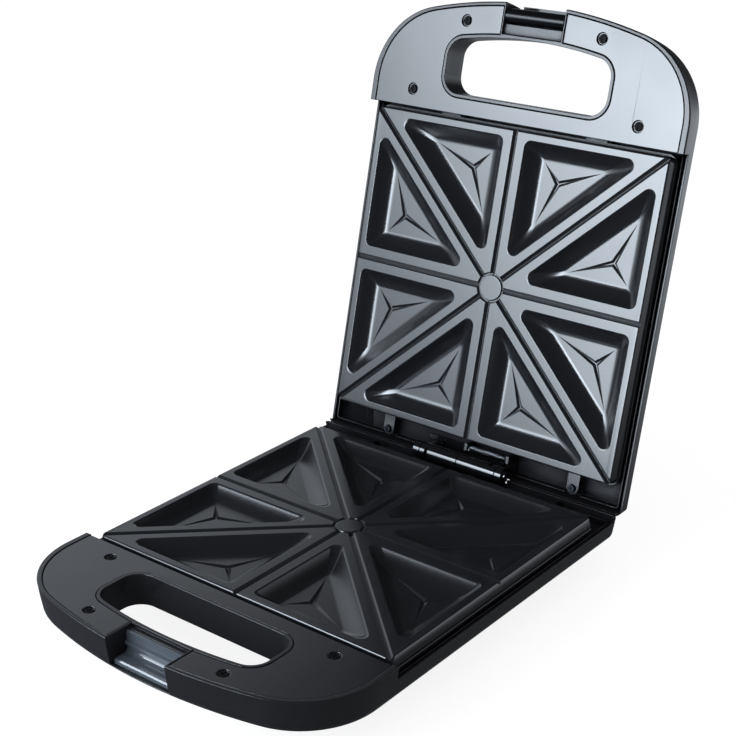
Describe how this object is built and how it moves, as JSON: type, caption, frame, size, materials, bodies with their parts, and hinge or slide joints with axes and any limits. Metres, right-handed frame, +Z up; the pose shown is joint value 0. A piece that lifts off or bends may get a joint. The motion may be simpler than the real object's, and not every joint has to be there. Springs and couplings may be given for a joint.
{
  "type": "sandwich toaster",
  "caption": "Countertop sandwich toaster with a hinged lid, two pocketed cooking plates, loop handles and a flip latch; lid open.",
  "frame": {"origin": "centre of the footprint of the open toaster, on the surface that its feet stand on", "axes": "+Z up, -Y towards the handle of the lower half, +X to the right seen from the handle"},
  "size_m": [0.258, 0.4261, 0.3596],
  "materials": {
    "charcoal_plastic": "moulded, satin gloss",
    "cover_plastic": "moulded, satin gloss",
    "hinge_plastic": "moulded, gloss",
    "silver_plastic": "moulded, high gloss",
    "ivory_plastic": "moulded, matt",
    "nonstick_coating": "cast, with a sprayed satin nonstick coating",
    "blackened_steel": "black oxide",
    "zinc_steel": "zinc plated",
    "tube_steel": "annealed tube",
    "polished_steel": "polished",
    "sheet_aluminium": "rolled sheet",
    "black_rubber": "matt",
    "red_lens": "clear tinted, gloss",
    "green_lens": "clear tinted, gloss"
  },
  "bodies": {
    "base": {"lower_housing": "charcoal_plastic", "lower_handle_cover": "cover_plastic", "lower_cover_screws": "blackened_steel", "lower_cooking_plate": "nonstick_coating", "lower_plate_screws": "zinc_steel", "lower_heating_element": "tube_steel", "lower_element_clamp": "zinc_steel", "lower_clamp_screw": "zinc_steel", "lower_heat_reflector": "sheet_aluminium", "lower_reflector_screws": "zinc_steel", "latch_catch": "silver_plastic", "lower_hinge_leaf": "hinge_plastic", "lower_hinge_screws": "zinc_steel", "hinge_pin": "polished_steel", "terminal_block": "ivory_plastic", "terminal_screws": "zinc_steel", "cord_inlet": "black_rubber", "rubber_feet": "black_rubber", "foot_screws": "zinc_steel"},
    "lid": {"upper_housing": "charcoal_plastic", "upper_handle_cover": "cover_plastic", "upper_cover_screws": "blackened_steel", "upper_cooking_plate": "nonstick_coating", "upper_plate_screws": "zinc_steel", "upper_heating_element": "tube_steel", "upper_element_clamp": "zinc_steel", "upper_clamp_screw": "zinc_steel", "upper_heat_reflector": "sheet_aluminium", "upper_reflector_screws": "zinc_steel", "upper_hinge_leaf": "hinge_plastic", "upper_hinge_screws": "zinc_steel", "wire_guard": "polished_steel", "thermostat": "zinc_steel", "thermal_fuse": "zinc_steel", "lamp_holder": "ivory_plastic", "red_lamp_lens": "red_lens", "green_lamp_lens": "green_lens", "latch_pivot_pin": "polished_steel"},
    "latch": {"latch_clip": "hinge_plastic"}
  },
  "joints": [
    {"name": "lid_hinge", "type": "hinge", "parent": "base", "child": "lid", "pos_m": [0, 0.11526, 0.0424], "axis": [1, 0, 0], "range_deg": [0, 103]},
    {"name": "latch_pivot", "type": "hinge", "parent": "lid", "child": "latch", "pos_m": [0, 0.19362, 0.35026], "axis": [1, 0, 0], "range_deg": [0, 180]}
  ]
}
